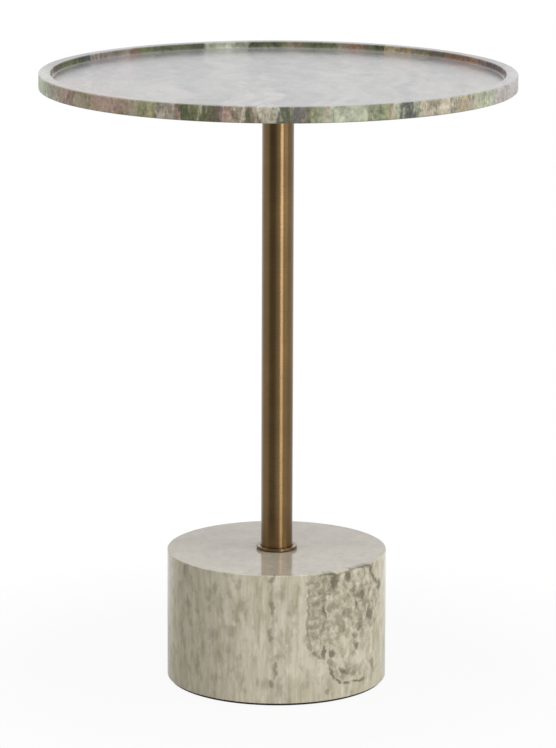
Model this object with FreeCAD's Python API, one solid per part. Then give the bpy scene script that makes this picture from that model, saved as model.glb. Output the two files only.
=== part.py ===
# Wine table: a turned stone tray on a plated steel column that is bolted to a heavy stone drum.
# Millimetres, +Z up. The origin is the centre of the underside, on the floor, and every piece
# except the hexagon and the split of the fasteners is turned about the Z axis.
import FreeCAD
import Part

import math
import os

from FreeCAD import Vector

# Whole table
TABLE_HEIGHT = 523.0

# Tray: one slab, hollowed on a lathe so that a rim stands round its floor
TRAY_DIAMETER = 400.0
TRAY_HEIGHT = 13.5
TRAY_RIM_WIDTH = 10.0
TRAY_RECESS_DEPTH = 6.0
TRAY_CORNER_RADIUS = 2.5
TRAY_EDGE_RADIUS = 1.2

# Mounting plate under the tray, bedded in epoxy, with its welded stud
PLATE_DIAMETER = 120.0
PLATE_THICKNESS = 4.0
PLATE_EDGE_RADIUS = 0.8
BOND_THICKNESS = 0.5
BOND_INSET = 2.0
STUD_WELD_GAP = 0.05

# Column tube and its two threaded end plugs
COLUMN_DIAMETER = 26.9
COLUMN_WALL = 2.0
PLUG_LENGTH = 25.0
PLUG_FIT = 0.05
PLUG_CHAMFER = 1.0
TOP_WASHER_THICKNESS = 1.0
TOP_WASHER_INSET = 0.6

# Collar that seats the column's foot, and the soft gasket under it
COLLAR_FLANGE_WIDTH = 4.0
COLLAR_HEIGHT = 2.2
COLLAR_SEAT_DEPTH = 1.2
COLLAR_SEAT_CLEARANCE = 0.15
COLLAR_EDGE_RADIUS = 0.9
GASKET_THICKNESS = 0.6
GASKET_INSET = 0.8

# Drum base with its bolt pocket, and the felt pad under it
DRUM_DIAMETER = 187.0
DRUM_HEIGHT = 111.0
DRUM_EDGE_RADIUS = 1.2
POCKET_DIAMETER = 48.0
POCKET_DEPTH = 30.0
PAD_THICKNESS = 2.0
PAD_INSET = 2.0

# Fasteners: one thread size for the stud and the bolt
THREAD_DIAMETER = 10.0
THREAD_CLEARANCE = 0.05
THREAD_ENGAGEMENT = 20.0
THREAD_TIP_CHAMFER = 1.2
BOLT_HOLE_CLEARANCE = 1.0
BOLT_HEAD_ACROSS_FLATS = 16.0
BOLT_HEAD_HEIGHT = 6.4
WASHER_HOLE_CLEARANCE = 0.25
FLAT_WASHER_DIAMETER = 30.0
FLAT_WASHER_THICKNESS = 2.5
SPRING_WASHER_BAND = 3.9
SPRING_WASHER_THICKNESS = 2.2
SPRING_WASHER_SPLIT = 1.5
FIBRE_WASHER_GAP = 2.0
FIBRE_WASHER_THICKNESS = 2.0

# Levels, from the floor up to the tray
DRUM_BOTTOM = PAD_THICKNESS
DRUM_TOP = DRUM_BOTTOM + DRUM_HEIGHT
COLLAR_BOTTOM = DRUM_TOP + GASKET_THICKNESS
COLLAR_TOP = COLLAR_BOTTOM + COLLAR_HEIGHT
TUBE_BOTTOM = COLLAR_TOP - COLLAR_SEAT_DEPTH
TRAY_BOTTOM = TABLE_HEIGHT - TRAY_HEIGHT
TRAY_FLOOR = TABLE_HEIGHT - TRAY_RECESS_DEPTH
PLATE_TOP = TRAY_BOTTOM - BOND_THICKNESS
PLATE_BOTTOM = PLATE_TOP - PLATE_THICKNESS
TUBE_TOP = PLATE_BOTTOM - TOP_WASHER_THICKNESS

# Levels in the bolt pocket, from its ceiling down to the bolt's head
POCKET_CEILING = DRUM_BOTTOM + POCKET_DEPTH
FIBRE_WASHER_BOTTOM = POCKET_CEILING - FIBRE_WASHER_THICKNESS
FLAT_WASHER_BOTTOM = FIBRE_WASHER_BOTTOM - FLAT_WASHER_THICKNESS
SPRING_WASHER_BOTTOM = FLAT_WASHER_BOTTOM - SPRING_WASHER_THICKNESS
BOLT_HEAD_BOTTOM = SPRING_WASHER_BOTTOM - BOLT_HEAD_HEIGHT

# Diameters that follow from what they fit
TRAY_RECESS_DIAMETER = TRAY_DIAMETER - 2 * TRAY_RIM_WIDTH
TUBE_BORE = COLUMN_DIAMETER - 2 * COLUMN_WALL
COLLAR_DIAMETER = COLUMN_DIAMETER + 2 * COLLAR_FLANGE_WIDTH
COLLAR_SEAT_DIAMETER = COLUMN_DIAMETER + 2 * COLLAR_SEAT_CLEARANCE
BOLT_HOLE = THREAD_DIAMETER + 2 * BOLT_HOLE_CLEARANCE
WASHER_HOLE = THREAD_DIAMETER + 2 * WASHER_HOLE_CLEARANCE
THREADED_HOLE = THREAD_DIAMETER + 2 * THREAD_CLEARANCE

SAME = 1e-6
HEXAGON_SIDES = 6


def cylinder(diameter, bottom, top):
    """A solid cylinder on the Z axis between two levels."""
    return Part.makeCylinder(diameter / 2, top - bottom, Vector(0, 0, bottom))


def ring(outside, hole, bottom, top):
    """A cylinder on the Z axis with a round hole through it."""
    return cylinder(outside, bottom, top).cut(cylinder(hole, bottom, top))


def rims(shape, diameter, level):
    """The circular edges of a shape that have this diameter and lie at this level."""
    circles = [edge for edge in shape.Edges if isinstance(edge.Curve, Part.Circle)]
    return [
        edge
        for edge in circles
        if abs(2 * edge.Curve.Radius - diameter) < SAME and abs(edge.Curve.Center.z - level) < SAME
    ]


def tray_top():
    """The stone tray: rounded rim, flat floor and a swept corner where the floor meets the rim."""
    slab = cylinder(TRAY_DIAMETER, TRAY_BOTTOM, TABLE_HEIGHT)
    slab = slab.makeFillet(
        TRAY_EDGE_RADIUS,
        rims(slab, TRAY_DIAMETER, TRAY_BOTTOM) + rims(slab, TRAY_DIAMETER, TABLE_HEIGHT),
    )
    recess = cylinder(TRAY_RECESS_DIAMETER, TRAY_FLOOR, TABLE_HEIGHT)
    recess = recess.makeFillet(TRAY_CORNER_RADIUS, rims(recess, TRAY_RECESS_DIAMETER, TRAY_FLOOR))
    tray = slab.cut(recess)
    return tray.makeFillet(TRAY_EDGE_RADIUS, rims(tray, TRAY_RECESS_DIAMETER, TABLE_HEIGHT))


def epoxy_bed():
    """The film of epoxy that holds the mounting plate to the stone."""
    return cylinder(PLATE_DIAMETER - 2 * BOND_INSET, PLATE_TOP, TRAY_BOTTOM)


def mounting_plate():
    """The steel disc under the tray, bored for its stud."""
    plate = cylinder(PLATE_DIAMETER, PLATE_BOTTOM, PLATE_TOP)
    plate = plate.makeFillet(PLATE_EDGE_RADIUS, rims(plate, PLATE_DIAMETER, PLATE_BOTTOM))
    return plate.cut(cylinder(THREAD_DIAMETER + 2 * STUD_WELD_GAP, PLATE_BOTTOM, PLATE_TOP))


def tray_stud():
    """The stud that hangs from the plate and screws into the column's upper plug."""
    tip = TUBE_TOP - THREAD_ENGAGEMENT
    stud = cylinder(THREAD_DIAMETER, tip, PLATE_TOP)
    return stud.makeChamfer(THREAD_TIP_CHAMFER, rims(stud, THREAD_DIAMETER, tip))


def top_washer():
    """The nylon washer between the column's top and the plate."""
    return ring(COLUMN_DIAMETER - 2 * TOP_WASHER_INSET, WASHER_HOLE, TUBE_TOP, PLATE_BOTTOM)


def end_plug(bottom, inner_end):
    """A threaded plug in one end of the tube. Its edge is chamfered at the end that enters first."""
    diameter = TUBE_BORE - 2 * PLUG_FIT
    plug = cylinder(diameter, bottom, bottom + PLUG_LENGTH)
    plug = plug.makeChamfer(PLUG_CHAMFER, rims(plug, diameter, inner_end))
    return plug.cut(cylinder(THREADED_HOLE, bottom, bottom + PLUG_LENGTH))


def upper_end_plug():
    """The plug at the column's top, for the tray's stud."""
    bottom = TUBE_TOP - PLUG_LENGTH
    return end_plug(bottom, bottom)


def lower_end_plug():
    """The plug at the column's foot, for the base bolt."""
    return end_plug(TUBE_BOTTOM, TUBE_BOTTOM + PLUG_LENGTH)


def column_tube():
    """The plated tube, from its seat in the collar up to the top washer."""
    return ring(COLUMN_DIAMETER, TUBE_BORE, TUBE_BOTTOM, TUBE_TOP)


def foot_collar():
    """The plated flange on the drum, with a seat for the tube's end and a hole for the bolt."""
    collar = cylinder(COLLAR_DIAMETER, COLLAR_BOTTOM, COLLAR_TOP)
    collar = collar.makeFillet(COLLAR_EDGE_RADIUS, rims(collar, COLLAR_DIAMETER, COLLAR_TOP))
    collar = collar.cut(cylinder(COLLAR_SEAT_DIAMETER, TUBE_BOTTOM, COLLAR_TOP))
    return collar.cut(cylinder(BOLT_HOLE, COLLAR_BOTTOM, COLLAR_TOP))


def collar_gasket():
    """The thin rubber ring that keeps the collar off the polished stone."""
    return ring(COLLAR_DIAMETER - 2 * GASKET_INSET, BOLT_HOLE, DRUM_TOP, COLLAR_BOTTOM)


def base_drum():
    """The stone drum, drilled through for the bolt and pocketed from below for its head."""
    drum = cylinder(DRUM_DIAMETER, DRUM_BOTTOM, DRUM_TOP)
    drum = drum.makeFillet(
        DRUM_EDGE_RADIUS,
        rims(drum, DRUM_DIAMETER, DRUM_BOTTOM) + rims(drum, DRUM_DIAMETER, DRUM_TOP),
    )
    drum = drum.cut(cylinder(POCKET_DIAMETER, DRUM_BOTTOM, POCKET_CEILING))
    return drum.cut(cylinder(BOLT_HOLE, POCKET_CEILING, DRUM_TOP))


def fibre_washer():
    """The wide fibre washer that spreads the bolt's load on the stone."""
    diameter = POCKET_DIAMETER - 2 * FIBRE_WASHER_GAP
    return ring(diameter, WASHER_HOLE, FIBRE_WASHER_BOTTOM, POCKET_CEILING)


def flat_washer():
    """The steel washer under the fibre one."""
    return ring(FLAT_WASHER_DIAMETER, WASHER_HOLE, FLAT_WASHER_BOTTOM, FIBRE_WASHER_BOTTOM)


def spring_washer():
    """The split lock washer, drawn flat as it is when the bolt is tight."""
    outside = WASHER_HOLE + 2 * SPRING_WASHER_BAND
    washer = ring(outside, WASHER_HOLE, SPRING_WASHER_BOTTOM, FLAT_WASHER_BOTTOM)
    split = Part.makeBox(
        outside,
        SPRING_WASHER_SPLIT,
        SPRING_WASHER_THICKNESS,
        Vector(0, -SPRING_WASHER_SPLIT / 2, SPRING_WASHER_BOTTOM),
    )
    return washer.cut(split)


def hexagon(across_flats, bottom, top):
    """A hexagonal prism on the Z axis between two levels."""
    corner_radius = across_flats / 2 / math.cos(math.pi / HEXAGON_SIDES)
    turns = [2 * math.pi * corner / HEXAGON_SIDES for corner in range(HEXAGON_SIDES)]
    corners = [Vector(corner_radius * math.cos(t), corner_radius * math.sin(t), bottom) for t in turns]
    outline = Part.makePolygon(corners + corners[:1])
    return Part.Face(outline).extrude(Vector(0, 0, top - bottom))


def base_bolt():
    """The hexagon bolt that draws the column down on to the drum from below."""
    tip = TUBE_BOTTOM + THREAD_ENGAGEMENT
    shank = cylinder(THREAD_DIAMETER, SPRING_WASHER_BOTTOM, tip)
    shank = shank.makeChamfer(THREAD_TIP_CHAMFER, rims(shank, THREAD_DIAMETER, tip))
    head = hexagon(BOLT_HEAD_ACROSS_FLATS, BOLT_HEAD_BOTTOM, SPRING_WASHER_BOTTOM)
    return head.fuse(shank).removeSplitter()


def base_pad():
    """The felt pad glued over the drum's underside, which also closes the bolt pocket."""
    return cylinder(DRUM_DIAMETER - 2 * PAD_INSET, 0, PAD_THICKNESS)


PIECES = [
    tray_top,
    epoxy_bed,
    mounting_plate,
    tray_stud,
    top_washer,
    upper_end_plug,
    column_tube,
    lower_end_plug,
    foot_collar,
    collar_gasket,
    base_drum,
    fibre_washer,
    flat_washer,
    spring_washer,
    base_bolt,
    base_pad,
]


def main():
    """Writes one STEP file for each piece, named after the function that makes it."""
    os.makedirs("parts", exist_ok=True)
    for piece in PIECES:
        piece().exportStep(f"parts/{piece.__name__}.step")


main()
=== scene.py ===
from collections import namedtuple
from math import cos, pi, radians, sin

import bmesh
import bpy
from mathutils import Matrix, Vector


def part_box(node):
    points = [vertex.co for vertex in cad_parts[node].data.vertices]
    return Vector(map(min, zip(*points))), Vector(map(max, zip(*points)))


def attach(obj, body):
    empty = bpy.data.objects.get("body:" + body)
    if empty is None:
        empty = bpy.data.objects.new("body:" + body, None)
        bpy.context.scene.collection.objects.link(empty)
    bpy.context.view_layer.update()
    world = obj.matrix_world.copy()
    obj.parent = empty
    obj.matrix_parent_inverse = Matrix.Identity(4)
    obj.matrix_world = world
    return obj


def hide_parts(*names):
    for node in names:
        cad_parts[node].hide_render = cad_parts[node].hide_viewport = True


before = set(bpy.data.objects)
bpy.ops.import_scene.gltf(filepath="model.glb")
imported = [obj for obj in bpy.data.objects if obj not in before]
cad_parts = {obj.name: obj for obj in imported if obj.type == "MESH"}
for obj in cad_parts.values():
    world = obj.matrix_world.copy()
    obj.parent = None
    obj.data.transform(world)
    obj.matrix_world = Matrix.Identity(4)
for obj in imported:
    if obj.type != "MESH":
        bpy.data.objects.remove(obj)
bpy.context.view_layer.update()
BODY = "root"

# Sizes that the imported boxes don't give
MM = 0.001
TRAY_RIM_WIDTH = 10 * MM
TRAY_RECESS_DEPTH = 6 * MM
TRAY_CORNER_RADIUS = 2.5 * MM
TRAY_EDGE_RADIUS = 1.2 * MM
PLATE_EDGE_RADIUS = 0.8 * MM
COLUMN_WALL = 2 * MM
COLUMN_END_RADIUS = 0.3 * MM
COLLAR_SEAT_DEPTH = 1.2 * MM
COLLAR_SEAT_CLEARANCE = 0.5 * MM
COLLAR_EDGE_RADIUS = 0.4 * MM
COLLAR_MOUTH_RADIUS = 0.3 * MM
DRUM_EDGE_RADIUS = 0.7 * MM
POCKET_RADIUS = 24 * MM
POCKET_DEPTH = 30 * MM
BOLT_HOLE_RADIUS = 6 * MM
THREAD_RADIUS = 5 * MM
PAD_EDGE_RADIUS = 0.5 * MM
RING_EDGE_RADIUS = 0.15 * MM

# How finely a piece is turned, and how near two points are to be the same
TURN_STEPS = 192
ROUND_STEPS = 5
SHARP_ANGLE = radians(40)
SAME = 1e-6

# Camera that fits the table's outline in the photograph. The picture is taller than wide, so
# the sensor's width spans its height.
PHOTO_HEIGHT_PX = 748
FOCAL_PX = 4066.3
SENSOR_MM = 36.0
CAMERA_PLACE = (0.0006, -3.3682, 0.9933)
CAMERA_PITCH = radians(12.2025)
CAMERA_ROLL = radians(0.2019)

Round = namedtuple("Round", "radius bottom top")


def round_of(node):
    """The radius and the two levels of a turned CAD node."""
    low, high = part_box(node)
    return Round(high.x, low.z, high.z)


TRAY = round_of("tray_top")
PLATE = round_of("mounting_plate")
EPOXY = round_of("epoxy_bed")
TOP_WASHER = round_of("top_washer")
COLUMN = round_of("column_tube")
COLLAR = round_of("foot_collar")
GASKET = round_of("collar_gasket")
DRUM = round_of("base_drum")
PAD = round_of("base_pad")
TRAY_FLOOR = TRAY.top - TRAY_RECESS_DEPTH


# Modelling

def on_ring(vertex, radius, height):
    """Whether a vertex lies on a circle about the Z axis."""
    level = abs(vertex.co.z - height) < SAME
    return level and abs(vertex.co.xy.length - radius) < SAME


def round_over(bm, radius, height, rounding):
    """Rounds one circular edge of a turned mesh."""
    ring = [edge for edge in bm.edges if all(on_ring(v, radius, height) for v in edge.verts)]
    bmesh.ops.bevel(bm, geom=ring, offset=rounding, offset_type="OFFSET", segments=ROUND_STEPS,
                    profile=0.5, affect="EDGES", material=-1)


def turned(outline, closed=False):
    """A mesh turned about the Z axis from points of (radius, height, rounding)."""
    bm = bmesh.new()
    points = [bm.verts.new((radius, 0, height)) for radius, height, _ in outline]
    following = points[1:] + points[:1] if closed else points[1:]
    edges = [bm.edges.new(pair) for pair in zip(points, following)]
    bmesh.ops.spin(bm, geom=points + edges, cent=(0, 0, 0), axis=(0, 0, 1), angle=2 * pi,
                   steps=TURN_STEPS, use_merge=True)
    bmesh.ops.remove_doubles(bm, verts=bm.verts, dist=SAME)
    bmesh.ops.recalc_face_normals(bm, faces=bm.faces)
    for radius, height, rounding in outline:
        if rounding:
            round_over(bm, radius, height, rounding)
    return bm


def piece(name, bm, material, node):
    """Makes a finished mesh a piece of the table that stands for a CAD node."""
    mesh = bpy.data.meshes.new(name)
    bm.to_mesh(mesh)
    bm.free()
    mesh.shade_smooth()
    mesh.set_sharp_from_angle(angle=SHARP_ANGLE)
    mesh.materials.append(material)
    thing = bpy.data.objects.new(name, mesh)
    bpy.context.scene.collection.objects.link(thing)
    normals = thing.modifiers.new("flat faces stay flat", "WEIGHTED_NORMAL")
    normals.keep_sharp = True
    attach(thing, BODY)
    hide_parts(node)


def disc_outline(shape, rounding):
    """The open outline of a plain disc, with its edges rounded."""
    return [
        (0, shape.bottom, 0),
        (shape.radius, shape.bottom, rounding),
        (shape.radius, shape.top, rounding),
        (0, shape.top, 0),
    ]


def ring_outline(shape, hole, rounding, hole_rounding=0):
    """The closed outline of a plain ring, with its edges and those of its hole rounded."""
    return [
        (hole, shape.bottom, hole_rounding),
        (shape.radius, shape.bottom, rounding),
        (shape.radius, shape.top, rounding),
        (hole, shape.top, hole_rounding),
    ]


def tray(material):
    """The round stone tray, hollowed so that a rim stands round its floor."""
    recess = TRAY.radius - TRAY_RIM_WIDTH
    outline = [
        (0, TRAY.bottom, 0),
        (TRAY.radius, TRAY.bottom, TRAY_EDGE_RADIUS),
        (TRAY.radius, TRAY.top, TRAY_EDGE_RADIUS),
        (recess, TRAY.top, TRAY_EDGE_RADIUS),
        (recess, TRAY_FLOOR, TRAY_CORNER_RADIUS),
        (0, TRAY_FLOOR, 0),
    ]
    piece("stone_tray", turned(outline), material, "tray_top")


def plate(material):
    """The steel disc under the tray, bored for its welded stud."""
    outline = ring_outline(PLATE, THREAD_RADIUS, PLATE_EDGE_RADIUS)
    bm = turned(outline, closed=True)
    piece("tray_plate", bm, material, "mounting_plate")


def column(material):
    """The brushed tube, with the edges of its two ends rounded a little."""
    bore = COLUMN.radius - COLUMN_WALL
    outline = ring_outline(COLUMN, bore, COLUMN_END_RADIUS, COLUMN_END_RADIUS)
    bm = turned(outline, closed=True)
    piece("brass_column", bm, material, "column_tube")


def collar(material):
    """The thin flange that the column's foot is set in."""
    seat = COLUMN.radius + COLLAR_SEAT_CLEARANCE
    seat_level = COLLAR.top - COLLAR_SEAT_DEPTH
    outline = [
        (BOLT_HOLE_RADIUS, COLLAR.bottom, 0),
        (COLLAR.radius, COLLAR.bottom, COLLAR_EDGE_RADIUS),
        (COLLAR.radius, COLLAR.top, COLLAR_EDGE_RADIUS),
        (seat, COLLAR.top, COLLAR_MOUTH_RADIUS),
        (seat, seat_level, 0),
        (BOLT_HOLE_RADIUS, seat_level, 0),
    ]
    bm = turned(outline, closed=True)
    piece("brass_collar", bm, material, "foot_collar")


def drum(material):
    """The stone drum, with the pocket and the hole for its bolt."""
    ceiling = DRUM.bottom + POCKET_DEPTH
    outline = [
        (BOLT_HOLE_RADIUS, DRUM.top, 0),
        (BOLT_HOLE_RADIUS, ceiling, 0),
        (POCKET_RADIUS, ceiling, 0),
        (POCKET_RADIUS, DRUM.bottom, 0),
        (DRUM.radius, DRUM.bottom, DRUM_EDGE_RADIUS),
        (DRUM.radius, DRUM.top, DRUM_EDGE_RADIUS),
    ]
    bm = turned(outline, closed=True)
    piece("stone_drum", bm, material, "base_drum")


def pad(material):
    """The felt disc under the drum."""
    bm = turned(disc_outline(PAD, PAD_EDGE_RADIUS))
    piece("felt_pad", bm, material, "base_pad")


def thin_layers(epoxy, nylon, rubber):
    """The epoxy film over the plate, the washer under it and the seal under the collar."""
    film = turned(disc_outline(EPOXY, RING_EDGE_RADIUS))
    piece("epoxy_film", film, epoxy, "epoxy_bed")
    edges = (RING_EDGE_RADIUS, RING_EDGE_RADIUS)
    washer = turned(ring_outline(TOP_WASHER, THREAD_RADIUS, *edges), closed=True)
    piece("column_washer", washer, nylon, "top_washer")
    seal = turned(ring_outline(GASKET, BOLT_HOLE_RADIUS, *edges), closed=True)
    piece("collar_seal", seal, rubber, "collar_gasket")


# Node trees

class Sheet:
    """Puts down and joins the nodes of one material, world or group."""

    def __init__(self, tree):
        self.nodes = tree.nodes
        self.links = tree.links

    def feed(self, socket, source):
        """Joins a socket to another one, or sets it to a value."""
        if isinstance(source, bpy.types.NodeSocket):
            self.links.new(source, socket)
        else:
            socket.default_value = source

    def put(self, kind, inputs=None, **settings):
        """A new node with its settings, and its inputs joined or set."""
        node = self.nodes.new("ShaderNode" + kind)
        for name, value in settings.items():
            setattr(node, name, value)
        for socket, source in (inputs or {}).items():
            self.feed(node.inputs[socket], source)
        return node

    def group(self, tree, **inputs):
        """What a shared node group puts out, with its inputs joined or set."""
        return self.put("Group", inputs, node_tree=tree).outputs

    def place(self):
        """The point on the piece, in metres of the table's frame."""
        return self.put("TexCoord").outputs["Object"]

    def facing(self):
        """The way that the surface faces."""
        return self.put("TexCoord").outputs["Normal"]

    def parts(self, vector):
        """The x, y and z of a vector."""
        return self.put("SeparateXYZ", {0: vector}).outputs

    def point(self, x, y, z=0.0):
        """A vector from three values."""
        return self.put("CombineXYZ", {0: x, 1: y, 2: z}).outputs[0]

    def vector(self, operation, *terms):
        """One step of arithmetic on vectors."""
        return self.put("VectorMath", dict(enumerate(terms)), operation=operation).outputs[0]

    def stretch(self, vector, factors):
        """A vector multiplied along each axis."""
        return self.vector("MULTIPLY", vector, factors)

    def length(self, vector):
        """How long a vector is."""
        return self.put("VectorMath", {0: vector}, operation="LENGTH").outputs["Value"]

    def off_axis(self, place):
        """How far a point lies from the Z axis."""
        return self.length(self.stretch(place, (1, 1, 0)))

    def math(self, operation, *terms):
        """One step of arithmetic on values."""
        return self.put("Math", dict(enumerate(terms)), operation=operation).outputs[0]

    def add(self, first, second):
        """Two values added."""
        return self.math("ADD", first, second)

    def times(self, first, second):
        """Two values multiplied."""
        return self.math("MULTIPLY", first, second)

    def ease(self, value, start, end):
        """A smooth step from 0 at start to 1 at end."""
        inputs = {"Value": value, "From Min": start, "From Max": end}
        return self.put("MapRange", inputs, interpolation_type="SMOOTHSTEP").outputs[0]

    def span(self, value, none, full, start=0.0, end=1.0):
        """A straight run from one value at the start to another at the end."""
        inputs = {"Value": value, "From Min": start, "From Max": end, "To Min": none,
                  "To Max": full}
        return self.put("MapRange", inputs).outputs[0]

    def noise(self, vector, scale, detail=2.0, rough=0.5, bend=0.0):
        """Cloudy noise, from about 0 to 1, with its scale in features to the metre."""
        inputs = {"Vector": vector, "Scale": scale, "Detail": detail, "Roughness": rough,
                  "Distortion": bend}
        return self.put("TexNoise", inputs).outputs[0]

    def shake(self, vector, scale, reach, detail=2.0):
        """A point moved about by noise, by up to half of a reach each way."""
        inputs = {"Vector": vector, "Scale": scale, "Detail": detail}
        way = self.put("TexNoise", inputs).outputs["Color"]
        way = self.vector("SUBTRACT", way, (0.5, 0.5, 0.5))
        return self.vector("MULTIPLY_ADD", way, (reach, reach, reach), vector)

    def sway(self, vector, scale, reach, detail=2.0):
        """Noise from minus to plus half of a reach."""
        level = self.math("SUBTRACT", self.noise(vector, scale, detail), 0.5)
        return self.times(level, reach)

    def mix(self, share, first, second, way="MIX"):
        """Two colours mixed by a share."""
        node = self.put("Mix", {0: share, 6: first, 7: second}, data_type="RGBA", blend_type=way)
        return node.outputs[2]

    def ramp(self, value, stops):
        """A run of colours along a value, from (position, colour) stops."""
        node = self.put("ValToRGB", {0: value})
        elements = node.color_ramp.elements
        while len(elements) < len(stops):
            elements.new(1.0)
        for element, (position, colour) in zip(elements, stops):
            element.position = position
            element.color = colour
        return node.outputs[0]

    def long_ramp(self, value, stops):
        """Two ramps end to end, for more stops than one can hold."""
        half = len(stops) // 2
        middle = stops[half][0]
        ends = self.ramp(value, stops[:half + 1]), self.ramp(value, stops[half:])
        return self.mix(self.math("GREATER_THAN", value, middle), *ends)

    def bump(self, height, strength, distance):
        """The normal of a fine relief."""
        inputs = {"Height": height, "Strength": strength, "Distance": distance}
        return self.put("Bump", inputs).outputs[0]


def paint(red, green, blue):
    """A colour as a screen shows it, from 0 to 255, as the linear colour of a socket."""
    def linear(level):
        share = level / 255
        return share / 12.92 if share <= 0.04045 else ((share + 0.055) / 1.055) ** 2.4
    return (linear(red), linear(green), linear(blue), 1.0)


def grey(level):
    """A neutral grey, from a linear level."""
    return (level, level, level, 1.0)


def new_material(name):
    """A material with a Principled shader: the material, the sheet for its nodes, its sockets."""
    material = bpy.data.materials.new(name)
    material.use_nodes = True
    shader = material.node_tree.nodes["Principled BSDF"]
    return material, Sheet(material.node_tree), shader.inputs


def new_group(name, inputs, outputs):
    """An empty node group with named sockets: its tree, its sheet, what it is given and gives."""
    tree = bpy.data.node_groups.new(name, "ShaderNodeTree")
    for way, sockets in (("INPUT", inputs), ("OUTPUT", outputs)):
        for socket, kind in sockets.items():
            tree.interface.new_socket(socket, in_out=way, socket_type="NodeSocket" + kind)
    given = tree.nodes.new("NodeGroupInput").outputs
    out = tree.nodes.new("NodeGroupOutput").inputs
    return tree, Sheet(tree), given, out


def streaks_group():
    """Fine upright streaks, as where a slab is cut across its beds."""
    tree, sheet, given, out = new_group(
        "stone streaks", {"Fineness": "Float", "Length": "Vector"}, {"Streak": "Float"})
    beds = sheet.stretch(sheet.place(), given["Length"])
    streak = sheet.noise(beds, given["Fineness"], detail=5.0, rough=0.6, bend=0.4)
    sheet.feed(out["Streak"], streak)
    return tree


def rubble_group():
    """Broken stone: a mask of the soft gaps between its rounded lumps."""
    tree, sheet, given, out = new_group(
        "stone rubble", {"Place": "Vector", "Fineness": "Float"}, {"Gap": "Float"})
    place = sheet.shake(given["Place"], scale=160.0, reach=6 * MM, detail=3.0)
    lumps = {"Vector": place, "Scale": given["Fineness"], "Randomness": 1.0}
    cells = sheet.put("TexVoronoi", lumps, feature="F1", voronoi_dimensions="2D")
    sheet.feed(out["Gap"], sheet.ease(cells.outputs["Distance"], start=0.3, end=0.62))
    return tree


def spot_group():
    """One stain or stroke in the stone: an oval, placed and turned, laid over other ones."""
    tree, sheet, given, out = new_group(
        "stone spot",
        {"Others": "Float", "Place": "Vector", "Middle": "Vector", "Turn": "Float",
         "Reach": "Vector"},
        {"Mask": "Float"})
    away = sheet.vector("SUBTRACT", given["Place"], given["Middle"])
    level = sheet.put("VectorRotate", {"Vector": away, "Angle": given["Turn"]},
                      rotation_type="Z_AXIS", invert=True).outputs[0]
    far = sheet.length(sheet.vector("DIVIDE", level, given["Reach"]))
    oval = sheet.ease(far, start=1.6, end=0.2)
    sheet.feed(out["Mask"], sheet.math("MAXIMUM", given["Others"], oval))
    return tree


def polish_group():
    """The uneven polish of a hand-finished surface: a roughness between two limits."""
    tree, sheet, given, out = new_group(
        "uneven polish", {"Least": "Float", "Most": "Float", "Fineness": "Float"},
        {"Roughness": "Float"})
    level = sheet.noise(sheet.place(), given["Fineness"], detail=4.0, rough=0.6)
    level = sheet.ease(level, start=0.3, end=0.7)
    sheet.feed(out["Roughness"], sheet.span(level, given["Least"], given["Most"]))
    return tree


STREAKS = streaks_group()
RUBBLE = rubble_group()
SPOT = spot_group()
POLISH = polish_group()
POLISH_FINENESS = 60.0


# Stone of the tray: the beds run from front to back, and show along the rim

STONE = {
    "cream": paint(206, 199, 180),
    "mist": paint(182, 180, 175),
    "mint": paint(196, 202, 180),
    "celery": paint(184, 186, 163),
    "jade": paint(164, 168, 145),
    "sage": paint(148, 150, 124),
    "fern": paint(128, 136, 98),
    "moss": paint(108, 112, 78),
    "pine": paint(84, 87, 64),
    "slate": paint(88, 92, 86),
    "plum": paint(116, 103, 97),
    "umber": paint(112, 102, 84),
    "rust": paint(156, 124, 98),
    "rose": paint(176, 151, 136),
    "clay": paint(190, 165, 148),
    "khaki": paint(174, 162, 130),
    "olive": paint(158, 154, 120),
    "ash": paint(180, 170, 154),
    "tan": paint(166, 156, 136),
    "taupe": paint(144, 132, 123),
    "sand": paint(176, 169, 149),
    "mauve": paint(164, 157, 152),
    "brick": paint(160, 140, 122),
    "russet": paint(134, 106, 84),
    "dun": paint(148, 138, 114),
    "ochre": paint(172, 148, 112),
    "cloud": paint(153, 153, 157),
}

# Where each colour lies along the front of the rim, in millimetres to the right of its middle
FRONT_BEDS = [
    (-194, "mint"), (-189, "jade"), (-185, "sand"), (-180, "sand"), (-175, "rose"),
    (-170, "rose"), (-163, "brick"), (-159, "dun"), (-152, "khaki"), (-148, "brick"),
    (-141, "rose"), (-130, "brick"), (-121, "brick"), (-118, "sage"), (-112, "olive"),
    (-98, "olive"), (-93, "ash"), (-84, "ash"), (-79, "clay"), (-75, "pine"), (-69, "moss"),
    (-60, "moss"), (-55, "umber"), (-47, "plum"), (-43, "rose"), (-34, "brick"), (-30, "cream"),
    (-26, "tan"), (-22, "umber"), (-17, "dun"), (-13, "cream"), (-8, "sand"), (-4, "cream"),
    (-1, "slate"), (4, "pine"), (8, "pine"), (11, "plum"), (14, "slate"), (20, "plum"),
    (25, "moss"), (30, "sage"), (36, "tan"), (43, "jade"), (60, "jade"), (74, "sage"),
    (82, "fern"), (90, "dun"), (97, "jade"), (103, "slate"), (108, "slate"), (110, "jade"),
    (112, "umber"), (115, "sand"), (124, "tan"), (140, "sand"), (147, "dun"), (152, "dun"),
    (157, "tan"), (163, "jade"), (174, "jade"), (178, "mauve"), (188, "mauve"), (194, "mist"),
]

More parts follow.
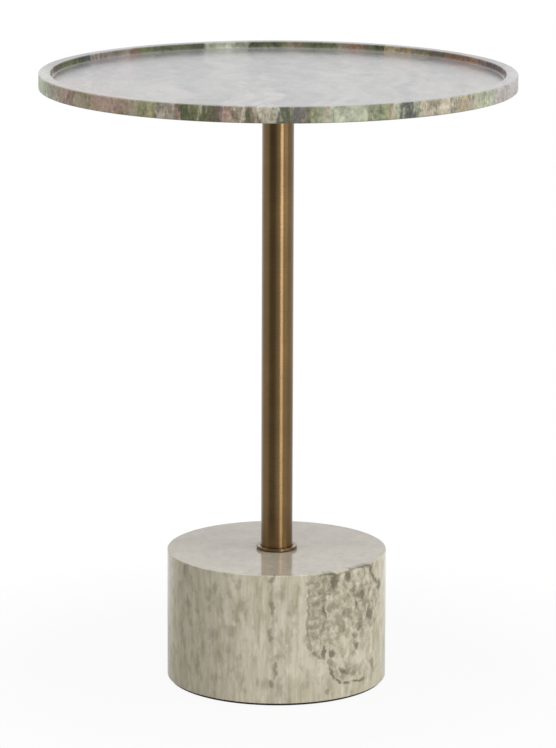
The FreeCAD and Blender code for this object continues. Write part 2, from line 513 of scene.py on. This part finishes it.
# The same along the back of the rim. The pale jade and celery between 63 and 29 mm left of the
# middle are a painted reflection of the key lamp on the rim's inner wall.
BACK_BEDS_AND_GLINT = [
    (-199, "celery"), (-192, "plum"), (-187, "umber"), (-181, "moss"), (-171, "pine"),
    (-163, "slate"), (-159, "ash"), (-154, "plum"), (-147, "taupe"), (-131, "taupe"),
    (-127, "rust"), (-122, "russet"), (-117, "moss"), (-110, "pine"), (-105, "moss"),
    (-97, "moss"), (-68, "pine"), (-63, "jade"), (-50, "celery"), (-34, "jade"), (-29, "sage"),
    (-25, "pine"), (-19, "pine"), (-13, "moss"), (-5, "pine"), (6, "moss"), (9, "dun"),
    (16, "dun"), (22, "umber"), (25, "moss"), (48, "moss"), (52, "dun"), (60, "tan"),
    (66, "rust"), (76, "umber"), (79, "moss"), (86, "moss"), (91, "pine"), (94, "ochre"),
    (104, "khaki"), (114, "ochre"), (120, "dun"), (136, "umber"), (142, "umber"), (145, "russet"),
    (157, "russet"), (162, "rust"), (170, "rust"), (176, "plum"), (188, "plum"), (197, "mauve"),
]

# How much broken stone each stretch of the front holds, from 0 to 1
FRONT_BROKEN = [
    (-90, 0.0), (-80, 0.6), (-58, 0.7), (-52, 0.3), (-46, 0.3), (-34, 0.5), (-31, 1.0),
    (-17, 1.0), (-13, 0.2), (-5, 0.2), (2, 0.4), (20, 0.4), (28, 0.1), (60, 0.2), (95, 0.3),
    (100, 0.9), (112, 0.9), (115, 0.0), (170, 0.0), (175, 0.4), (182, 0.0),
]

# How light the colours of the front and the back are made, and how far they run into each other
FRONT_LIGHT = 1.06
BACK_LIGHT = 0.86
BEDS_MEET = 30 * MM

# How far out the beds run straight, as at the rim, and how far in they wind about freely
STRAIGHT_BEDS = 0.97 * TRAY.radius
WINDING_BEDS = 0.55 * TRAY.radius

# Shares that draw the ripples and layers out, upwards and from front to back: the smaller, the
# longer
DRAWN_UP = 0.35
DRAWN_BACK = 0.12

# What the layers and the specks of the stone have in its grain
LAYER_SHARE = 0.6
SPECK_SHARE = 0.4

# The flat faces are greyer than the upright ones, and most of all in the middle of the tray
GREY_AT_RIM = 0.64
GREY_IN_MIDDLE = 0.78
RIM_FACE = 0.95 * TRAY.radius
MIDDLE_FACE = 0.7 * TRAY.radius

# How strong the gaps and the crumbs of broken stone are
GAP_SHARE = 0.7
CRUMB_SHARE = 0.8


def bed_share(mm):
    """How far across the tray a bed lies, as a share of its width."""
    return (mm * MM + TRAY.radius) / (2 * TRAY.radius)


def bed_stops(beds, light):
    """The stops of a colour ramp that spans the tray, with each colour made lighter or darker."""
    stops = []
    for mm, name in beds:
        red, green, blue, _ = STONE[name]
        stops.append((bed_share(mm), (red * light, green * light, blue * light, 1.0)))
    return stops


def tray_specks(sheet, stone, place, share, front):
    """Lays cream crumbs and dark gaps over the beds where the stone is broken."""
    stops = [(bed_share(mm), grey(amount)) for mm, amount in FRONT_BROKEN]
    broken = sheet.times(sheet.ramp(share, stops), front)
    grain = sheet.noise(sheet.stretch(place, (1, 1, 0.4)), scale=260.0, detail=3.0, rough=0.6)
    gap = sheet.times(sheet.ease(grain, start=0.47, end=0.36), broken)
    crumb = sheet.times(sheet.ease(grain, start=0.54, end=0.64), broken)
    stone = sheet.mix(sheet.times(gap, GAP_SHARE), stone, STONE["pine"])
    return sheet.mix(sheet.times(crumb, CRUMB_SHARE), stone, STONE["cream"])


def tray_run(sheet, place, out, flat):
    """How far across and how far back the rippled beds put a point of the tray."""
    x, y, _ = sheet.parts(place)
    loose = sheet.ease(out, STRAIGHT_BEDS, WINDING_BEDS)
    wander = sheet.times(sheet.sway(place, scale=6.0, reach=0.13, detail=1.5), loose)
    upright = sheet.stretch(place, (1, 1, DRAWN_UP))
    fray = sheet.sway(upright, scale=260.0, reach=22 * MM, detail=4.0)
    fray = sheet.times(fray, sheet.span(flat, none=1.0, full=0.4))
    ripple = sheet.add(sheet.sway(upright, scale=75.0, reach=16 * MM), fray)
    across = sheet.add(sheet.add(x, wander), ripple)
    back = sheet.times(sheet.sway(place, scale=9.0, reach=0.5, detail=3.0), loose)
    return across, sheet.add(y, back)


def tray_beds(sheet, place, across, back, flat):
    """The colour of the beds, front and back, with the broken stone at the front."""
    share = sheet.math("MULTIPLY_ADD", across, 0.5 / TRAY.radius, 0.5)
    front_stone = sheet.long_ramp(share, bed_stops(FRONT_BEDS, FRONT_LIGHT))
    # The back's beds carry a painted reflection of the key lamp.
    back_stone = sheet.long_ramp(share, bed_stops(BACK_BEDS_AND_GLINT, BACK_LIGHT))
    stone = sheet.mix(sheet.ease(back, -BEDS_MEET, BEDS_MEET), front_stone, back_stone)
    upright = sheet.span(flat, none=1.0, full=0.2)
    front = sheet.times(sheet.ease(back, BEDS_MEET, -BEDS_MEET), upright)
    return tray_specks(sheet, stone, place, share, front)


def tray_grain(sheet, place, across):
    """The light and dark of the stone's layers, as a grey to lay over its colour."""
    _, y, z = sheet.parts(place)
    layers = sheet.point(across, sheet.times(y, DRAWN_BACK), sheet.times(z, DRAWN_UP))
    layer = sheet.noise(layers, scale=130.0, detail=5.0, rough=0.6, bend=0.3)
    speck = sheet.noise(place, scale=330.0, detail=3.0, rough=0.6)
    grain = sheet.math("MULTIPLY_ADD", layer, LAYER_SHARE, sheet.times(speck, SPECK_SHARE))
    return sheet.ramp(grain, [(0.34, grey(0.12)), (0.5, grey(0.5)), (0.66, grey(0.88))])


def tray_stone():
    """Polished marble in green, rose and cream beds."""
    material, sheet, shader = new_material("tray_stone_polished")
    place = sheet.place()
    out = sheet.off_axis(place)
    flat = sheet.ease(sheet.math("ABSOLUTE", sheet.parts(sheet.facing())[2]), start=0.5, end=0.9)
    across, back = tray_run(sheet, place, out, flat)
    stone = tray_beds(sheet, place, across, back, flat)
    cloudy = sheet.span(sheet.ease(out, RIM_FACE, MIDDLE_FACE), GREY_AT_RIM, GREY_IN_MIDDLE)
    stone = sheet.mix(sheet.times(flat, cloudy), stone, STONE["cloud"])
    grain = tray_grain(sheet, place, across)
    stone = sheet.mix(sheet.span(flat, none=0.85, full=0.24), stone, grain, "OVERLAY")
    sheet.feed(shader["Base Color"], stone)
    least = sheet.span(flat, none=0.5, full=0.18)
    most = sheet.span(flat, none=0.6, full=0.26)
    polish = sheet.group(POLISH, Least=least, Most=most, Fineness=POLISH_FINENESS)
    sheet.feed(shader["Roughness"], polish["Roughness"])
    return material


# Stone of the drum: upright beds, with a bay of broken stone on the photographed side and a
# smaller one behind

DRUM_STONE = {
    "light": paint(212, 205, 186),
    "mid": paint(193, 185, 163),
    "dark": paint(166, 158, 132),
    "lump": paint(142, 134, 109),
    "stain": paint(106, 98, 76),
    "pale": paint(214, 208, 190),
    "face": paint(165, 155, 144),
    "haze": paint(182, 174, 160),
}

# Streaks in the beds, in features to the metre, how they are drawn out, and their share
Streaks = namedtuple("Streaks", "fineness length share")
DRUM_STREAKS = [
    Streaks(260.0, (1, 0.3, 0.12), 0.3),
    Streaks(90.0, (1, 0.4, 0.16), 0.3),
    Streaks(170.0, (1, 0.5, 0.35), 0.25),
    Streaks(620.0, (1, 0.6, 0.06), 0.15),
]

# Ovals in millimetres round the drum from its front and up from the floor:
# (middle along, middle up, half width, half height, turn in degrees).
# Their masks fade, so OVAL_REACH draws each out a little past its half sizes.
OVAL_REACH = 1.2 * MM
BAY_OVALS = [
    (36, 77, 10, 36, 0), (62, 82, 34, 42, 0), (86, 84, 24, 34, 20), (66, 28, 18, 15, 0),
    (226, 78, 34, 40, 0), (212, 34, 20, 24, 0),
]
PEBBLE_OVALS = [
    (34, 75, 8, 36, 0), (46, 60, 7, 14, 0), (62, 74, 9, 10, 0), (85, 84, 14, 22, 15),
    (65, 27, 11, 7, 0), (226, 78, 26, 34, 0), (212, 34, 14, 18, 0),
]
DARK_MARKS = [
    (64.5, 107, 4, 5.5, 0), (41, 80, 2, 4.5, 0), (82, 88, 2.6, 2.6, 0), (75, 82, 1.6, 4, 0),
    (93, 70, 4.6, 5, 0), (80, 62, 4.4, 4.8, 0), (74, 45, 4.4, 3, -30), (110, 91, 4.2, 5, 0),
    (49, 42, 2.8, 2.8, 0), (41, 45, 2, 6, 0), (51.5, 105, 3.8, 6, 0), (55, 17.5, 5, 1.4, -40),
    (63, 14.5, 5, 1.4, -5), (94, 109, 2, 5, 22), (99, 101, 1.8, 6.5, 34), (105, 95, 1.8, 5, 46),
    (78, 14.5, 9, 1.3, 0), (49, 25, 1.6, 6, 15), (59, 28, 4, 1.4, -30), (46, 112, 9, 1.3, 0),
    (80, 112, 17, 1.3, 0), (240, 70, 4, 4, 0), (222, 92, 3, 6, 0), (212, 40, 4, 3, 30),
]
FAINT_MARKS = [
    (27, 90, 1.3, 20, 0), (27, 60, 1.6, 15, 3), (31, 45, 3.4, 2.2, -45), (37, 41, 3.4, 2, -20),
    (41, 98, 1.8, 14, 0), (40, 66, 1.8, 10, -8), (47, 34, 1.8, 6, 0), (50, 101, 4, 9, 4),
    (28, 106, 4, 3, 0), (35, 103, 3.4, 2.2, 0), (73, 95, 3.2, 3, 0), (77, 89, 7, 1.2, 0),
    (46, 95, 8, 1.1, -12), (73, 54, 3.4, 2.6, 0), (65, 77, 5, 2.4, 0), (60, 66, 2, 5, 10),
    (63, 25, 3.4, 1.6, -20), (68, 27, 3.4, 1.4, 20), (45, 9, 2.2, 2.2, 0), (97, 25, 3.2, 3.4, 0),
    (-91, 106, 2.4, 5, 0), (-5, 109, 3, 3, 0), (-2.9, 85, 2, 5, 0), (-5.4, 61, 2.2, 5, 0),
    (-1.1, 32, 1.7, 7, 0), (-4.2, 20, 1.9, 5, 10), (138, 84, 1.6, 24, 1), (168, 30, 2, 6, -2),
    (196, 60, 3, 3, 0), (262, 74, 2, 9, 1), (283, 96, 2, 7, -2), (-136, 40, 1.8, 9, 1),
    (-152, 86, 2.4, 5, 0), (-172, 24, 2, 7, 2), (-188, 66, 2.6, 4, 0), (-214, 90, 1.8, 10, 0),
    (-226, 40, 2.4, 5, 0), (-246, 78, 2, 6, 2), (-268, 30, 2, 8, -1),
]
CLOUDY_MARKS = [
    (13, 83, 2.6, 8, 0), (-51, 84, 4, 9, 0), (-40, 94, 1.8, 5, 0), (-68, 44, 3, 8, 0),
    (-56, 57, 2.6, 7, 0), (-42, 46, 2, 7, 0), (-41, 63, 4, 4, 0), (-35, 76, 3, 6, 0),
    (-88, 79, 6, 3, -12), (-86, 102, 3, 10, 0), (-33, 102, 2.4, 3, 0), (-60, 92, 3, 6, 0),
    (-74, 30, 2.6, 10, 0), (-96, 50, 3, 14, 0), (10, 60, 3, 8, 0), (101, 44, 4, 9, 0),
    (92, 36, 3, 10, 0), (88, 20, 2.6, 8, 0), (10, 44, 2.6, 9, 0), (2, 14, 3, 8, 0),
    (138, 40, 1.8, 30, 1), (168, 44, 2.2, 30, -2), (262, 50, 1.8, 46, 1), (283, 80, 2.2, 24, -2),
    (-136, 60, 2, 30, 1), (-165, 80, 1.8, 30, -1), (-214, 58, 2, 44, 0), (-246, 84, 2.4, 26, 2),
    (-268, 40, 2, 30, -1), (-3.2, 74, 1.9, 40, 1), (-2, 26, 2.3, 24, -2),
]
# The first pale mark, an upright stripe just right of the front, is a painted reflection of the
# key lamp. The rest are pale streaks in the stone.
PALE_MARKS_AND_GLINT = [
    (21, 78, 2.4, 40, 0), (57.5, 101, 2.2, 10, 0), (73, 107, 2.2, 6, 0), (76, 34, 8, 5, 10),
    (1.5, 70, 2, 12, 0), (-23, 70, 2, 30, 0), (15, 50, 2, 20, 0), (150, 60, 3, 50, 0),
    (182, 80, 2.4, 30, 0), (272, 50, 3, 44, 1), (-150, 60, 2.6, 50, 0), (-196, 50, 3, 44, 1),
    (-232, 70, 2.4, 40, 0), (-284, 60, 2.6, 50, 0),
]

# The marks, each laid over those before it, with how strong they are and their colour
DRUM_MARKS = [
    (PALE_MARKS_AND_GLINT, 0.55, "pale"),
    (CLOUDY_MARKS, 0.28, "stain"),
    (FAINT_MARKS, 0.5, "stain"),
    (DARK_MARKS, 0.85, "stain"),
]

# Round the drum, in millimetres from its front: how light the beds are, and how much of their blue
# they keep. The lightness is partly the stone's own tone and partly painted light, lighter across
# the front and darker on its left.
DRUM_TONES_AND_PAINTED_LIGHT = [
    (-294, 0.98, 0.96), (-130, 1.0, 0.9), (-112, 0.96, 0.88), (-92, 0.82, 0.88),
    (-76, 0.93, 0.96), (-58, 0.96, 0.98), (-30, 1.2, 1.0), (-12, 1.26, 1.0), (4, 1.11, 1.0),
    (20, 1.2, 1.0), (40, 1.1, 1.0), (56, 1.155, 1.0), (90, 1.12, 0.98), (120, 1.13, 0.94),
    (170, 1.0, 0.96), (294, 0.98, 0.96),
]

# Painted shade and light up the drum's side: the beds are made darker at its foot, against the
# light that the floor throws on it, and lighter at its top, against the tray's shade
FOOT_PAINTED_SHADE = 0.94
TOP_PAINTED_LIGHT = 1.02

# How strong the blotches are, the stone of the flat faces, the bay and its gaps
BLOTCH_SHARE = 0.5
FACE_SHARE = 0.75
BAY_SHARE = 0.85
BAY_GAP_SHARE = 0.55

# How far in from the drum's side the stone of its faces is whole, and the marks are whole and gone
FACE_WHOLE = 1.4 * MM
MARKS_WHOLE = 2 * MM
MARKS_GONE = 8 * MM

# How much a grain frays the edges of the ovals
FRAY = 1.4

# The drum's polish mirrors a little more than most stone does
DRUM_IOR = 1.62


def spots(sheet, side, ovals):
    """The strongest mask of several ovals."""
    strongest = 0.0
    for along, up, half_width, half_height, turn in ovals:
        reach = (half_width * OVAL_REACH, half_height * OVAL_REACH, 1)
        spot = sheet.group(SPOT, Others=strongest, Place=side, Middle=(along * MM, up * MM, 0),
                           Turn=radians(turn), Reach=reach)
        strongest = spot["Mask"]
    return strongest


def ragged(sheet, side, ovals, grain):
    """Soft ovals whose edges a grain frays."""
    frayed = sheet.math("MULTIPLY_ADD", grain, FRAY, -FRAY / 2)
    return sheet.ease(sheet.add(spots(sheet, side, ovals), frayed), start=0.2, end=1.0)


def drum_side(sheet, place):
    """A point on the drum's side: how far round from its front and how far up, shaken a little."""
    x, y, z = sheet.parts(place)
    turn = sheet.math("ARCTAN2", x, sheet.times(y, -1.0))
    side = sheet.point(sheet.times(turn, DRUM.radius), z)
    side = sheet.shake(side, scale=75.0, reach=8 * MM)
    return sheet.shake(side, scale=300.0, reach=3 * MM)


def drum_streaks(sheet, place):
    """The colour of the upright beds: streaks of several lengths, and soft blotches."""
    level = 0.0
    for kind in DRUM_STREAKS:
        streak = sheet.group(STREAKS, Fineness=kind.fineness, Length=kind.length)["Streak"]
        level = sheet.math("MULTIPLY_ADD", streak, kind.share, level)
    stone = sheet.ramp(level, [(0.38, DRUM_STONE["dark"]), (0.5, DRUM_STONE["mid"]),
                               (0.6, DRUM_STONE["light"])])
    blotch = sheet.noise(sheet.stretch(place, (1, 1, 0.6)), scale=130.0, detail=3.0)
    blotch = sheet.times(sheet.ease(blotch, start=0.5, end=0.7), BLOTCH_SHARE)
    return sheet.mix(blotch, stone, DRUM_STONE["lump"])


def drum_beds(sheet, place, side, out):
    """The beds, toned round the drum and upwards with painted light and shade, and the hazier
    stone of its flat faces.
    """
    stone = drum_streaks(sheet, place)
    along, up, _ = sheet.parts(side)
    around = 2 * pi * DRUM.radius
    # The tones round the drum are partly painted light.
    stops = [(mm * MM / around + 0.5, (tone, tone, tone * blue, 1.0))
             for mm, tone, blue in DRUM_TONES_AND_PAINTED_LIGHT]
    tones_and_light = sheet.ramp(sheet.math("MULTIPLY_ADD", along, 1 / around, 0.5), stops)
    # Painted shade at the drum's foot and painted light at its top.
    painted_lift = sheet.span(up, FOOT_PAINTED_SHADE, TOP_PAINTED_LIGHT, DRUM.bottom, DRUM.top)
    stone = sheet.mix(1.0, sheet.mix(1.0, stone, tones_and_light, "MULTIPLY"), painted_lift, "MULTIPLY")
    haze = sheet.noise(place, scale=22.0, detail=4.0, rough=0.6, bend=0.6)
    haze = sheet.ease(haze, start=0.35, end=0.65)
    face = sheet.mix(haze, DRUM_STONE["face"], DRUM_STONE["haze"])
    flat = sheet.ease(out, DRUM.radius, DRUM.radius - FACE_WHOLE)
    return sheet.mix(sheet.times(flat, FACE_SHARE), stone, face)


def drum_bay(sheet, stone, side, grain, near):
    """Lays the bay of broken stone over the beds: mottled lumps with darker gaps between."""
    tone = sheet.noise(sheet.stretch(side, (1, 0.7, 1)), scale=150.0, detail=4.0, rough=0.6)
    lumps = sheet.ramp(tone, [(0.37, DRUM_STONE["lump"]), (0.46, DRUM_STONE["dark"]),
                              (0.55, DRUM_STONE["mid"]), (0.66, DRUM_STONE["pale"])])
    gap = sheet.group(RUBBLE, Place=side, Fineness=190.0)["Gap"]
    gap = sheet.times(gap, ragged(sheet, side, PEBBLE_OVALS, grain))
    broken = sheet.mix(sheet.times(gap, BAY_GAP_SHARE), lumps, DRUM_STONE["stain"])
    bay = sheet.times(ragged(sheet, side, BAY_OVALS, grain), near)
    return sheet.mix(sheet.times(bay, BAY_SHARE), stone, broken)


def drum_stone():
    """Polished beige stone, cut across its beds."""
    material, sheet, shader = new_material("drum_stone_polished")
    place = sheet.place()
    side = drum_side(sheet, place)
    out = sheet.off_axis(place)
    near = sheet.ease(out, DRUM.radius - MARKS_GONE, DRUM.radius - MARKS_WHOLE)
    grain = sheet.noise(sheet.stretch(side, (1, 0.7, 1)), scale=260.0, detail=3.0, rough=0.6)
    stone = drum_bay(sheet, drum_beds(sheet, place, side, out), side, grain, near)
    for ovals, share, colour in DRUM_MARKS:
        mark = sheet.times(ragged(sheet, side, ovals, grain), near)
        stone = sheet.mix(sheet.times(mark, share), stone, DRUM_STONE[colour])
    sheet.feed(shader["Base Color"], stone)
    shader["IOR"].default_value = DRUM_IOR
    polish = sheet.group(POLISH, Least=0.08, Most=0.14, Fineness=POLISH_FINENESS)
    sheet.feed(shader["Roughness"], polish["Roughness"])
    return material


# Brass, in linear colours, and the other finishes

BRASS_DULL = (0.156, 0.094, 0.034, 1.0)
BRASS_BRIGHT = (0.195, 0.118, 0.044, 1.0)
BRASS_BRUSHED = (0.128, 0.076, 0.027, 1.0)
BRASS_SHEEN = {
    "Metallic": 1.0,
    "Coat Weight": 0.42,
    "Coat Roughness": 0.22,
    "Anisotropic": 0.67,
    "Anisotropic Rotation": 0.25,
}

# Two colours as a screen shows them, the features to the metre of the grain that mixes them, the
# least and most roughness, the relief in millimetres, and whether it is metal
Finish = namedtuple("Finish", "first second fineness least most relief metallic")
PLAIN_FINISHES = {
    "steel_zinc_plated": Finish((196, 197, 198), (172, 174, 178), 700.0, 0.28, 0.45, 0.05, 1.0),
    "plate_powder_coat": Finish((30, 30, 31), (44, 44, 45), 1600.0, 0.45, 0.62, 0.1, 0.0),
    "gasket_rubber": Finish((22, 22, 22), (34, 33, 32), 1200.0, 0.6, 0.8, 0.08, 0.0),
    "washer_nylon": Finish((224, 220, 208), (206, 202, 190), 500.0, 0.35, 0.5, 0.05, 0.0),
    "washer_fibre": Finish((128, 56, 42), (104, 44, 34), 900.0, 0.6, 0.8, 0.1, 0.0),
    "bond_epoxy": Finish((196, 188, 166), (176, 168, 146), 300.0, 0.25, 0.4, 0.1, 0.0),
    "pad_felt": Finish((38, 35, 32), (60, 56, 51), 2200.0, 0.9, 1.0, 0.4, 0.0),
}

# CAD nodes that are kept as they are, and their finish
KEPT_NODES = {
    "tray_stud": "steel_zinc_plated",
    "upper_end_plug": "steel_zinc_plated",
    "lower_end_plug": "steel_zinc_plated",
    "base_bolt": "steel_zinc_plated",
    "flat_washer": "steel_zinc_plated",
    "spring_washer": "steel_zinc_plated",
    "fibre_washer": "washer_fibre",
}


def antique_brass():
    """Brass that was darkened, brushed round and round, and lacquered."""
    material, sheet, shader = new_material("brass_antique_brushed")
    place = sheet.place()
    brush = sheet.stretch(place, (0.05, 0.05, 1))
    brush = sheet.noise(brush, scale=2400.0, detail=3.0, rough=0.6)
    cloud = sheet.noise(place, scale=30.0, detail=3.0)
    brass = sheet.mix(sheet.ease(cloud, start=0.3, end=0.7), BRASS_DULL, BRASS_BRIGHT)
    brass = sheet.mix(sheet.ease(brush, start=0.5, end=0.75), brass, BRASS_BRUSHED)
    sheet.feed(shader["Base Color"], brass)
    sheet.feed(shader["Roughness"], sheet.span(brush, none=0.26, full=0.32))
    for socket, value in BRASS_SHEEN.items():
        shader[socket].default_value = value
    tangent = sheet.put("Tangent", direction_type="RADIAL", axis="Z")
    sheet.feed(shader["Tangent"], tangent.outputs[0])
    return material


def plain_finish(name):
    """A finish with a fine grain in its colour, gloss and relief."""
    finish = PLAIN_FINISHES[name]
    material, sheet, shader = new_material(name)
    grain = sheet.noise(sheet.place(), finish.fineness, detail=4.0, rough=0.6)
    colours = paint(*finish.first), paint(*finish.second)
    colour = sheet.mix(sheet.ease(grain, start=0.3, end=0.7), *colours)
    sheet.feed(shader["Base Color"], colour)
    sheet.feed(shader["Roughness"], sheet.span(grain, finish.least, finish.most))
    sheet.feed(shader["Normal"], sheet.bump(grain, strength=0.4, distance=finish.relief * MM))
    shader["Metallic"].default_value = finish.metallic
    return material


def finish_kept_nodes(plain):
    """Gives the CAD nodes that are kept their finish."""
    for node, name in KEPT_NODES.items():
        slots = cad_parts[node].data.materials
        slots.clear()
        slots.append(plain[name])


# Studio

WHITE = grey(1.0)

# The floor lies a hair under the pad, and fades from FLOOR_FADE out to its edge. Part of it is
# plain white to the camera and in reflections, and the rest takes the table's shadow.
FLOOR_RADIUS = 0.45
FLOOR_FADE = 0.18
FLOOR_DROP = 0.2 * MM
FLOOR_SIDES = 128
FLOOR_ROUGHNESS = 0.9
FLOOR_GREY = grey(0.55)
FLOOR_WHITE_SEEN = 0.92
FLOOR_WHITE_MIRRORED = 0.35

# The backdrop behind the table: where it starts and is whole, and how much further round it
# reaches on the left
BACKDROP_START = 0.58
BACKDROP_WHOLE = 0.9
BACKDROP_SKEW = 0.185

# The dim side of the room, to the left of the camera, and the cosines off its middle at which it
# is whole and gone
DIM_TURN = radians(-36)
DIM_WHOLE = 0.985
DIM_GONE = 0.76

# Greys of the room, first as it lights the table, then as polish and brass mirror it
ROOM_DIM = grey(0.05)
ROOM_BRIGHT = grey(0.53)
ROOM_LOW = grey(0.12)
ROOM_UNDERFOOT = grey(0.6)
MIRRORED_DIM = grey(0.12)
MIRRORED_BRIGHT = grey(1.0)
MIRRORED_LOW_DIM = grey(0.3)
MIRRORED_LOW_BRIGHT = grey(0.62)
MIRRORED_HIGH = grey(0.65)

# Lamps, aimed at the table: their turn to the right of the camera's side and their rise, in
# degrees, how far off they stand, their size, and how bright their face is
LAMP_AIM = Vector((0, 0, 0.28))
Softbox = namedtuple("Softbox", "name turn rise far width height radiance")
SOFTBOXES = [
    Softbox("key_softbox", 30, 1, 2.4, 0.74, 1.46, 4.9),
    Softbox("side_softbox", 62, 3, 2.4, 1.15, 0.6, 1.7),
    Softbox("top_softbox", 6, 68, 2.4, 0.8, 0.9, 6.6),
    Softbox("right_softbox", 80, 45, 2.2, 1.2, 1.4, 2.5),
    Softbox("left_softbox", -85, 34, 2.4, 1.2, 1.4, 2.2),
]


def mirrored_ray(sheet, path):
    """Whether a ray comes from a glossy or a clear surface."""
    return sheet.math("MAXIMUM", path["Is Glossy Ray"], path["Is Transmission Ray"])


def floor_white():
    """The floor's finish, clear towards its edge and from below."""
    material, sheet, shader = new_material("floor_white")
    shader["Base Color"].default_value = FLOOR_GREY
    shader["Roughness"].default_value = FLOOR_ROUGHNESS
    path = sheet.put("LightPath").outputs
    seen = sheet.times(path["Is Camera Ray"], FLOOR_WHITE_SEEN)
    mirrored = sheet.times(mirrored_ray(sheet, path), FLOOR_WHITE_MIRRORED)
    plain = sheet.math("MAXIMUM", seen, mirrored)
    matte = sheet.nodes["Principled BSDF"].outputs[0]
    glow = sheet.put("Emission", {"Color": WHITE, "Strength": 1.0}).outputs[0]
    lit = sheet.put("MixShader", {0: plain, 1: matte, 2: glow}).outputs[0]
    clear = sheet.put("BsdfTransparent").outputs[0]
    faded = sheet.ease(sheet.length(sheet.place()), FLOOR_FADE, FLOOR_RADIUS)
    gone = sheet.math("MAXIMUM", faded, sheet.put("NewGeometry").outputs["Backfacing"])
    surface = sheet.put("MixShader", {0: gone, 1: lit, 2: clear}).outputs[0]
    sheet.feed(sheet.nodes["Material Output"].inputs["Surface"], surface)
    return material


def studio_floor():
    """A pale round floor that keeps the table's shadow."""
    bm = bmesh.new()
    bmesh.ops.create_circle(bm, cap_ends=True, segments=FLOOR_SIDES, radius=FLOOR_RADIUS,
                            matrix=Matrix.Translation((0, 0, -FLOOR_DROP)))
    mesh = bpy.data.meshes.new("studio_floor")
    bm.to_mesh(mesh)
    bm.free()
    mesh.materials.append(floor_white())
    floor = bpy.data.objects.new("studio_floor", mesh)
    bpy.context.scene.collection.objects.link(floor)


def studio_world():
    """White to the camera. Other rays see a white backdrop behind the table and a grey room."""
    world = bpy.data.worlds.new("studio")
    bpy.context.scene.world = world
    world.use_nodes = True
    sheet = Sheet(world.node_tree)
    way = sheet.put("TexCoord").outputs["Generated"]
    x, y, z = sheet.parts(way)
    dim_way = (sin(DIM_TURN), -cos(DIM_TURN), 0.0)
    dim = sheet.put("VectorMath", {0: way, 1: dim_way}, operation="DOT_PRODUCT").outputs["Value"]
    bright = sheet.ease(dim, DIM_WHOLE, DIM_GONE)
    low = sheet.ease(z, start=-0.12, end=-0.24)
    underfoot = sheet.ease(z, start=-0.5, end=-0.8)
    high = sheet.ease(z, start=0.02, end=0.16)
    room = sheet.mix(low, sheet.mix(bright, ROOM_DIM, ROOM_BRIGHT), ROOM_LOW)
    room = sheet.mix(underfoot, room, ROOM_UNDERFOOT)
    mirrored = sheet.mix(low, sheet.mix(bright, MIRRORED_DIM, MIRRORED_BRIGHT),
                         sheet.mix(bright, MIRRORED_LOW_DIM, MIRRORED_LOW_BRIGHT))
    mirrored = sheet.mix(high, mirrored, MIRRORED_HIGH)
    path = sheet.put("LightPath").outputs
    room = sheet.mix(mirrored_ray(sheet, path), room, mirrored)
    behind = sheet.math("MULTIPLY_ADD", x, -BACKDROP_SKEW, y)
    room = sheet.mix(sheet.ease(behind, BACKDROP_START, BACKDROP_WHOLE), room, WHITE)
    shade = sheet.nodes["Background"]
    sheet.feed(shade.inputs["Color"], sheet.mix(path["Is Camera Ray"], room, WHITE))
    shade.inputs["Strength"].default_value = 1.0


def studio_lamp(box):
    """A soft lamp that faces the table."""
    across = cos(radians(box.rise))
    turn = radians(box.turn)
    way = Vector((sin(turn) * across, -cos(turn) * across, sin(radians(box.rise))))
    lamp = bpy.data.lights.new(box.name, "AREA")
    lamp.shape = "RECTANGLE"
    lamp.size = box.width
    lamp.size_y = box.height
    lamp.energy = box.radiance * pi * box.width * box.height
    thing = bpy.data.objects.new(box.name, lamp)
    thing.location = LAMP_AIM + way * box.far
    thing.rotation_euler = way.to_track_quat("Z", "Y").to_euler()
    bpy.context.scene.collection.objects.link(thing)


def studio():
    """Floor, world and lamps."""
    studio_floor()
    studio_world()
    for box in SOFTBOXES:
        studio_lamp(box)


def camera():
    """The photograph's camera."""
    lens = bpy.data.cameras.new("photo_camera")
    lens.sensor_width = SENSOR_MM
    lens.lens = FOCAL_PX / PHOTO_HEIGHT_PX * SENSOR_MM
    thing = bpy.data.objects.new("photo_camera", lens)
    tilt = Matrix.Rotation(pi / 2 - CAMERA_PITCH, 4, "X") @ Matrix.Rotation(CAMERA_ROLL, 4, "Z")
    thing.matrix_world = Matrix.Translation(CAMERA_PLACE) @ tilt
    bpy.context.scene.collection.objects.link(thing)
    bpy.context.scene.camera = thing


def main():
    """Builds the table, its finishes and the studio."""
    brass = antique_brass()
    plain = {name: plain_finish(name) for name in PLAIN_FINISHES}
    tray(tray_stone())
    plate(plain["plate_powder_coat"])
    column(brass)
    collar(brass)
    drum(drum_stone())
    pad(plain["pad_felt"])
    thin_layers(plain["bond_epoxy"], plain["washer_nylon"], plain["gasket_rubber"])
    finish_kept_nodes(plain)
    studio()
    camera()
    bpy.context.scene.view_settings.view_transform = "Standard"


main()
